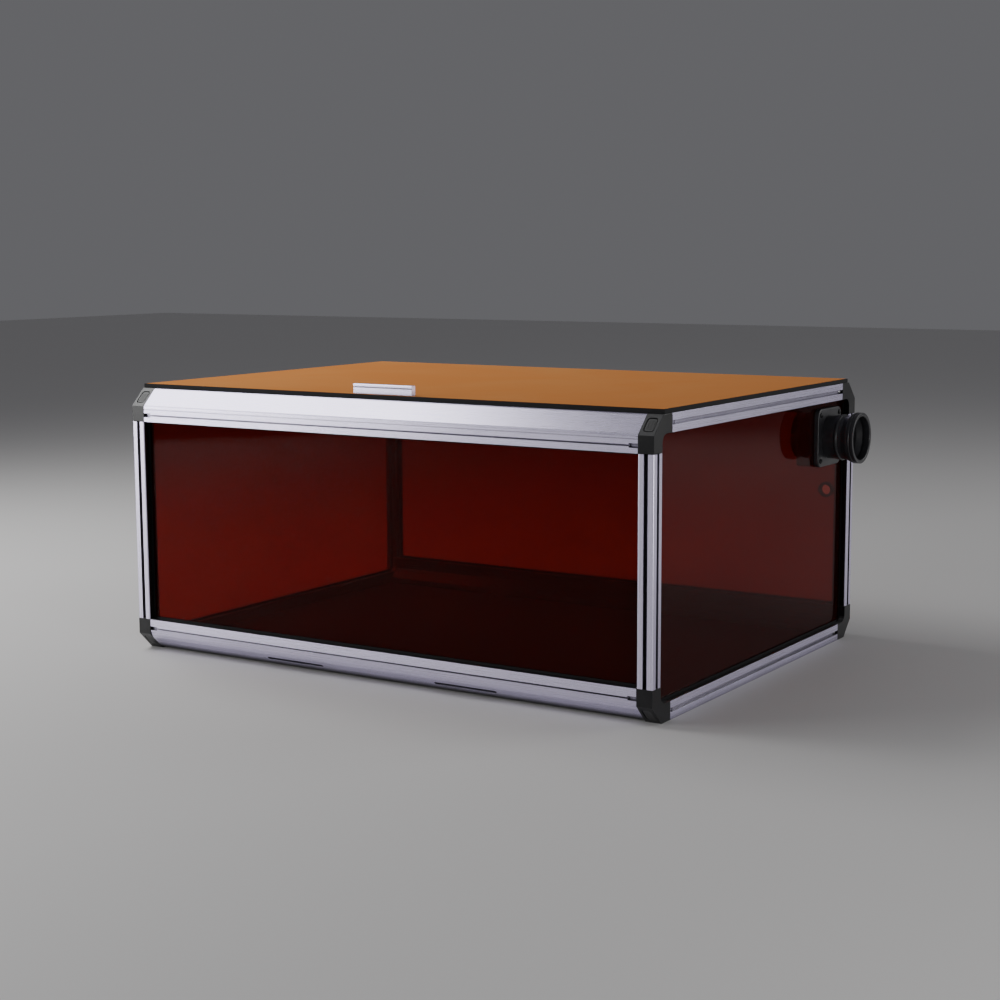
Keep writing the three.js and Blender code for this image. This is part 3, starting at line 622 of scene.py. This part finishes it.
RAIL_SCREW_DEPTH = 4
RAIL_SCREW_FROM_END = 3 * MM
rail_screws = []
for side, sign in (("left", -1), ("right", 1)):
    for level in ("top", "bottom"):
        low, high = box_of(f"rail_{level}_{side}")
        face = (high.x if sign > 0 else low.x) - sign * RAIL_SCREW_DEPTH * MM
        mid = (low.z + high.z) / 2
        for y in (low.y + RAIL_SCREW_FROM_END, high.y - RAIL_SCREW_FROM_END):
            rail_screws.append((Vector((face, y, mid)), (sign, 0, 0)))
print("screw spots:", len(duct_screws), len(rail_screws), len(leaf_spots("left")))

# %% Grow the screw heads
def screws(name, places, size, body, replaced=(), metal=steel):
    piece = grow(name, spots(name, places), screw_tree,
                 {"Radius": size[0] * MM, "Height": size[1] * MM, "Slot": size[2] * MM}, metal)
    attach(piece, body)
    if replaced:
        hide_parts(*replaced)
    return piece


screws("duct_screw_heads", duct_screws, (3.3, 1.9, 0.9), "frame",
       [f"fan_screw_{i}" for i in range(1, 5)], dark_steel)
screws("rail_end_screws", rail_screws, (2.2, 1.4, 0.6), "frame")
screws("hinge_leaf_screws", leaf_spots("left") + leaf_spots("right"), (2.2, 1.0, 0.6), "frame")
LID_LEAF_ROW = (-24, -15, 15, 24)
LID_LEAF_FACE = 1.5 * MM
LID_LEAF_BELOW = 2.35 * MM
lid_places = []
for side in ("left", "right"):
    leaf = centre(f"hinge_lid_leaf_{side}")
    low, high = box_of(f"hinge_lid_leaf_{side}")
    lid_places += [(Vector((leaf.x + x * MM, low.y + LID_LEAF_FACE, high.z - LID_LEAF_BELOW)), (0, 1, 0))
                   for x in LID_LEAF_ROW]
screws("lid_leaf_screws", lid_places, (1.6, 0.8, 0.5), "lid")
PULL_HEAD_SINK = 1.3
handle_places = []
for side in ("left", "right"):
    low, high = box_of(f"handle_screw_{side}")
    spot = Vector(((low.x + high.x) / 2, (low.y + high.y) / 2, high.z - PULL_HEAD_SINK * MM))
    handle_places.append((spot, (0, 0, 1)))
screws("handle_screw_heads", handle_places, (2.7, 1.3, 0.8), "lid",
       ["handle_screw_left", "handle_screw_right"])
print("screw heads grown")

# %% [markdown]
# ## Cap ribs
# Each cap in a corner block has three low ribs that run up its slope. One tree makes a rib from
# its three sizes and sets it on every point. The ribs' own edges stay sharp, because a rib is
# only a millimetre wide.

# %% Cap ribs
rib_tree, given = start_tree("cap ribs", [("Width", FLOAT, 0.0012), ("Length", FLOAT, 0.011),
                                          ("Height", FLOAT, 0.0004)])
size = place(rib_tree, "ShaderNodeCombineXYZ", {"X": given.outputs["Width"], "Y": given.outputs["Length"],
                                                "Z": given.outputs["Height"]})
rib = place(rib_tree, "GeometryNodeMeshCube", {"Size": size.outputs[0]})
facing = place(rib_tree, "GeometryNodeInputNamedAttribute", {"Name": "facing"}, data_type="FLOAT_VECTOR")
turn = place(rib_tree, "FunctionNodeAlignRotationToVector", {"Vector": facing.outputs[0]}, axis="Z")
ribs = place(rib_tree, "GeometryNodeInstanceOnPoints",
             {"Points": given.outputs[0], "Instance": rib.outputs[0], "Rotation": turn.outputs[0]})
end_tree(rib_tree, given, ribs.outputs[0])

RIB_LIFT = 0.65
RIB_SPACING = 3.2
rib_places = []
for name in sorted(n for n in nodes if n.startswith("cap_")):
    normal = Vector((0, -1 if "front" in name else 1, 1 if "top" in name else -1)).normalized()
    top = centre(name) + normal * RIB_LIFT * MM
    rib_places += [(top + Vector((x * MM, 0, 0)), normal) for x in (-RIB_SPACING, 0, RIB_SPACING)]
cap_ribs = grow("cap_ribs", spots("cap_ribs", rib_places), rib_tree,
                {"Width": 1.3 * MM, "Length": 12 * MM, "Height": 0.36 * MM}, cap_plastic)
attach(cap_ribs, "frame")
print("ribs:", len(rib_places))

# %% [markdown]
# ## Turned pieces of the duct
# The pipe, the hose collar and the grommet are round, so each is a closed outline swept round
# a circle. The circle is a curve, the outline is the swept profile, and the number of segments is
# an input, so it stays smooth in a close view.

# %% Turned piece tree
turned_tree, given = start_tree("turned piece", [("Circle Radius", FLOAT, 0.03),
                                                 ("Segments", "NodeSocketInt", 96)])
ring = place(turned_tree, "GeometryNodeCurvePrimitiveCircle",
             {"Resolution": given.outputs["Segments"], "Radius": given.outputs["Circle Radius"]})
outline = place(turned_tree, "GeometryNodeMeshToCurve", {"Mesh": given.outputs[0]})
swept = place(turned_tree, "GeometryNodeCurveToMesh", {"Curve": ring.outputs[0],
                                                       "Profile Curve": outline.outputs[0]})
end_tree(turned_tree, given, swept.outputs[0])
print("tree:", turned_tree.name)

# %% [markdown]
# Sharp corners of the outline get a small round first, so the turned piece has the soft edges of
# a moulding. The finished ring is laid on the fan's axis by changing its mesh, which keeps the
# object itself at the origin.

# %% Rounded outlines and turned pieces
def rounded_outline(points, radius, steps=3):
    """Points with a small round at every corner, in millimetres."""
    rounded = []
    for i, point in enumerate(points):
        here = Vector(point)
        before, after = Vector(points[i - 1]) - here, Vector(points[(i + 1) % len(points)]) - here
        reach = min(radius, before.length * 0.4, after.length * 0.4)
        start, end = here + before.normalized() * reach, here + after.normalized() * reach
        for step in range(steps + 1):
            t = step / steps
            rounded.append(start * (1 - t) ** 2 + here * 2 * t * (1 - t) + end * t ** 2)
    return rounded


ROUND_STEPS = 96


def turned(name, outline, soft, axis_matrix, material):
    middle = 30.0
    points = rounded_outline(outline, soft)
    mesh = bpy.data.meshes.new(name)
    mesh.from_pydata([((r - middle) * MM, a * MM, 0) for r, a in points],
                     [(i, (i + 1) % len(points)) for i in range(len(points))], [])
    piece = grow(name, mesh, turned_tree, {"Circle Radius": middle * MM, "Segments": ROUND_STEPS},
                 material)
    return settle(piece, axis_matrix)


def settle(piece, matrix=None, angle=35):
    """Places the mesh, turns its faces outwards and smooths all but its sharp edges."""
    work = bmesh.new()
    work.from_mesh(piece.data)
    bmesh.ops.remove_doubles(work, verts=work.verts, dist=1e-7)
    if matrix is not None:
        bmesh.ops.transform(work, matrix=matrix, verts=work.verts)
    bmesh.ops.recalc_face_normals(work, faces=work.faces)
    work.to_mesh(piece.data)
    work.free()
    piece.data.shade_smooth()
    piece.data.set_sharp_from_angle(angle=math.radians(angle))
    return piece


print("turned ready")

# %% [markdown]
# The fan's axis and the duct's stations come from the CAD boxes. The outline is written as
# (radius, distance from the wall) in millimetres: a straight pipe, a bead that a hose clip sits
# behind, and a mouth that widens to the hose collar.

# %% Duct pipe, plate and hose collar
fan_middle = centre("duct_collar")
duct_low, duct_high = box_of("duct_adapter")
collar_low, collar_high = box_of("duct_collar")


def along_duct(x):
    """Turns the swept ring's own axis to +x and moves it onto the fan's axis at x metres."""
    turn = Matrix(((0, 0, 1, 0), (1, 0, 0, 0), (0, 1, 0, 0), (0, 0, 0, 1)))
    flip = Matrix.Diagonal((1, 1, -1, 1))
    return Matrix.Translation((x, fan_middle.y, fan_middle.z)) @ turn @ flip


duct_length = (duct_high.x - duct_low.x) / MM
pipe_outline = [(26.5, 1), (28.5, 1), (28.5, 23), (30, 23.8), (30, 26), (28.5, 26.8), (28.5, 32),
                (31.8, 39), (31.8, duct_length), (29.8, duct_length), (29.8, 39), (26.5, 32)]
pipe = turned("duct_pipe", pipe_outline, 0.6, along_duct(duct_low.x), fan_plastic)
collar_length = (collar_high.x - collar_low.x) / MM
collar_outline = [(28.2, 0), (33, 0), (33, 2.2), (32.4, 2.7), (32.4, 3.3), (33, 3.8),
                  (33, collar_length), (29, collar_length), (28.2, collar_length - 0.8)]
collar = turned("duct_collar_ring", collar_outline, 0.5, along_duct(collar_low.x), fan_plastic)
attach(collar, "frame")
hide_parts("duct_collar")
print("duct length in mm:", round(duct_length, 1), "collar:", round(collar_length, 1))

# %% [markdown]
# The plate behind the pipe is a rounded square with a round hole. Rings of points with the same
# count are bridged in order: back edge, front edge, its rounded arris, the hole's edge and back.

# %% Duct plate
def rounded_square_point(angle, width, height, radius):
    """Where a ray from the middle meets the rounded rectangle's outline, found by halving."""
    direction = Vector((math.cos(angle), math.sin(angle)))
    near, far = 0.0, max(width, height)
    for _ in range(40):
        middle = (near + far) / 2
        x, y = abs(direction.x * middle), abs(direction.y * middle)
        dx, dy = x - (width / 2 - radius), y - (height / 2 - radius)
        inside = math.hypot(max(dx, 0), max(dy, 0)) < radius
        near, far = (middle, far) if inside else (near, middle)
    return direction * near


def bridge_rings(name, rings, material):
    count = len(rings[0])
    points = [tuple(p) for ring in rings for p in ring]
    faces = []
    for i in range(len(rings)):
        j = (i + 1) % len(rings)
        faces += [(i * count + k, i * count + (k + 1) % count, j * count + (k + 1) % count, j * count + k)
                  for k in range(count)]
    mesh = bpy.data.meshes.new(name)
    mesh.from_pydata(points, [], faces)
    mesh.materials.append(material)
    piece = bpy.data.objects.new(name, mesh)
    bpy.context.collection.objects.link(piece)
    return piece


PLATE_WIDTH, PLATE_HEIGHT, PLATE_THICKNESS = 75.0, 76.0, 6.0
PLATE_CORNER = 10
PLATE_HOLE = 27
PLATE_STEPS = 144
inset_and_distance = [(0.0, 0.0), (0.0, 4.6), (0.1, 5.2), (0.45, 5.7), (1.0, 5.95), (1.6, PLATE_THICKNESS)]
angles = [2 * math.pi * k / PLATE_STEPS for k in range(PLATE_STEPS)]


def on_plate(x, y, z):
    """A point x mm off the wall and y, z mm from the fan's axis."""
    return duct_low.x + x * MM, fan_middle.y + y * MM, fan_middle.z + z * MM


rings = []
for inset, x in inset_and_distance:
    width, height = PLATE_WIDTH - 2 * inset, PLATE_HEIGHT - 2 * inset
    edge = [rounded_square_point(angle, width, height, PLATE_CORNER - inset) for angle in angles]
    rings.append([on_plate(x, p.x, p.y) for p in edge])
for x in (PLATE_THICKNESS, 0.0):
    rings.append([on_plate(x, PLATE_HOLE * math.cos(a), PLATE_HOLE * math.sin(a)) for a in angles])
plate = settle(bridge_rings("duct_plate", rings, fan_plastic))
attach(plate, "frame")
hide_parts("duct_adapter")
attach(pipe, "frame")
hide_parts("duct_adapter")
print("plate faces:", len(plate.data.polygons))

# %% [markdown]
# ## Grommet
# The cable outlet is the same kind of turned piece, on an axis that runs front to back through
# the rear wall.

# %% Cable grommet
hole = centre("cable_grommet")
grommet_outline = [(6.8, -3.4), (10.5, -3.4), (10.5, -1.8), (8.9, -1.8), (8.9, 1.8), (10.5, 1.8),
                   (10.5, 3.4), (6.8, 3.4)]
onto_wall = Matrix.Translation(hole) @ Matrix.Rotation(math.pi / 2, 4, "X")
grommet = turned("grommet_ring", grommet_outline, 0.7, onto_wall, rubber)
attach(grommet, "frame")
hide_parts("cable_grommet")
print("grommet at", [round(v, 3) for v in hole])

# %% [markdown]
# ## Fan rotor
# A fan blade is a thin curved sheet that turns along its span. One blade is modelled as a grid
# with a twist, given thickness, and then repeated round the hub by a tree whose input is the
# number of blades.

# %% Blade wheel tree
wheel_tree, given = start_tree("blade wheel", [("Blades", "NodeSocketInt", 7)])
count = given.outputs["Blades"]
line = place(wheel_tree, "GeometryNodeMeshLine", {"Count": count, "Offset": (0, 0, 0)})
index = place(wheel_tree, "GeometryNodeInputIndex")
share = place(wheel_tree, "ShaderNodeMath", {0: index.outputs[0], 1: count}, operation="DIVIDE")
angle = place(wheel_tree, "ShaderNodeMath", {0: share.outputs[0], 1: 2 * math.pi}, operation="MULTIPLY")
spin = place(wheel_tree, "ShaderNodeCombineXYZ", {"X": angle.outputs[0]})
copies = place(wheel_tree, "GeometryNodeInstanceOnPoints", {"Points": line.outputs[0],
                                                            "Instance": given.outputs[0],
                                                            "Rotation": spin.outputs[0]})
end_tree(wheel_tree, given, copies.outputs[0])
print("tree:", wheel_tree.name)

# %% Blades and hub
rotor_low, rotor_high = box_of("fan_rotor")
rotor_mid = (rotor_low.x + rotor_high.x) / 2
depth = (rotor_high.x - rotor_low.x) / MM


BLADES = 7
ROOT_PITCH, TIP_PITCH = 48, 28
CAMBER = 1.4
FLATTEN = 0.82
RIM_GAP = 0.2


def blade_mesh(span=(13.0, 31.4), chord=15.0, rows=9, columns=9, thickness=1.1):
    """A blade along +z: its pitch falls towards the tip, and its camber is a shallow arc."""
    work = bmesh.new()
    layers = []
    for lift in (thickness / 2, -thickness / 2):
        grid = []
        for i in range(rows):
            t = i / (rows - 1)
            radius = span[0] + (span[1] - span[0]) * t
            pitch = math.radians(ROOT_PITCH - (ROOT_PITCH - TIP_PITCH) * t)
            line = []
            for j in range(columns):
                s = (j / (columns - 1) - 0.5) * chord
                camber = CAMBER * (1 - (2 * s / chord) ** 2) + lift * (1 - 0.6 * abs(2 * s / chord))
                x = s * math.sin(pitch) + camber * math.cos(pitch)
                y = s * math.cos(pitch) - camber * math.sin(pitch)
                x = max(-depth / 2 + RIM_GAP, min(depth / 2 - RIM_GAP, x * FLATTEN))
                turn = y / radius
                across, up = radius * math.sin(turn), radius * math.cos(turn)
                line.append(work.verts.new((x * MM, across * MM, up * MM)))
            grid.append(line)
        layers.append(grid)
    top, bottom = layers
    for i in range(rows - 1):
        for j in range(columns - 1):
            work.faces.new((top[i][j], top[i][j + 1], top[i + 1][j + 1], top[i + 1][j]))
            work.faces.new((bottom[i][j], bottom[i + 1][j], bottom[i + 1][j + 1], bottom[i][j + 1]))
    rim = [(0, j) for j in range(columns)] + [(i, columns - 1) for i in range(1, rows)]
    rim += [(rows - 1, j) for j in range(columns - 2, -1, -1)] + [(i, 0) for i in range(rows - 2, 0, -1)]
    for k, (i, j) in enumerate(rim):
        m, n = rim[(k + 1) % len(rim)]
        work.faces.new((top[i][j], bottom[i][j], bottom[m][n], top[m][n]))
    bmesh.ops.recalc_face_normals(work, faces=work.faces)
    mesh = bpy.data.meshes.new("blade")
    work.to_mesh(mesh)
    work.free()
    return mesh


blades = grow("rotor_blades", blade_mesh(), wheel_tree, {"Blades": BLADES}, fan_plastic)
blades = settle(blades, Matrix.Translation((rotor_mid, fan_middle.y, fan_middle.z)))
hub_outline = [(0.2, -depth / 2), (13.4, -depth / 2), (14.5, -depth / 2 + 1.4), (14.5, depth / 2),
               (0.2, depth / 2)]
hub = turned("rotor_hub", hub_outline, 0.8, along_duct(rotor_mid), fan_plastic)
for part in (blades, hub):
    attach(part, "rotor")
    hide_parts("fan_rotor")
print("blade faces:", len(blades.data.polygons))

# %% [markdown]
# ## Studio
# A pale floor, a soft grey surround and four lamps. Metal and acrylic show what surrounds them, so
# three lamps are wide panels: one gives the frame its bright faces, one lights the fan side, and
# one from above fills the lid. A small one draws a bright line down the rounded corner posts.

# %% Floor and light
floor_mesh = bpy.data.meshes.new("studio_floor")
floor_mesh.from_pydata([(-9, -9, 0), (9, -9, 0), (9, 9, 0), (-9, 9, 0)], [], [(0, 1, 2, 3)])
studio_floor = bpy.data.objects.new("studio_floor", floor_mesh)
bpy.context.collection.objects.link(studio_floor)
floor_paint = bpy.data.materials.new("studio_floor")
floor_paint.use_nodes = True
paint = floor_paint.node_tree.nodes["Principled BSDF"]
paint.inputs["Base Color"].default_value = (0.72, 0.71, 0.70, 1)
paint.inputs["Roughness"].default_value = 0.6
floor_mesh.materials.append(floor_paint)

world = bpy.data.worlds.new("studio")
bpy.context.scene.world = world
world.use_nodes = True
surround = world.node_tree.nodes["Background"]
surround.inputs["Color"].default_value = (0.13, 0.13, 0.138, 1)
surround.inputs["Strength"].default_value = 1.0


def lamp(name, place_at, aim, size, power):
    light = bpy.data.lights.new(name, "AREA")
    light.shape = "RECTANGLE"
    light.size, light.size_y = size
    light.energy = power
    thing = bpy.data.objects.new(name, light)
    bpy.context.collection.objects.link(thing)
    thing.matrix_world = Matrix.Translation(place_at) @ (
        (Vector(aim) - Vector(place_at)).to_track_quat("-Z", "Y").to_matrix().to_4x4())


lamp("front_panel", (-2.3, -2.1, 0.6), (0, 0, 0.2), (1.4, 0.9), 36)
lamp("side_panel", (2.2, 2.0, 0.9), (0.3, 0.1, 0.2), (1.4, 1.0), 18)
lamp("top_panel", (-1.45, -0.25, 1.5), (-0.3, 0, 0.33), (1.4, 1.3), 26)
lamp("corner_panel", (1.9, -1.1, 0.36), (0.38, -0.28, 0.2), (0.5, 0.7), 9)
print("studio ready")
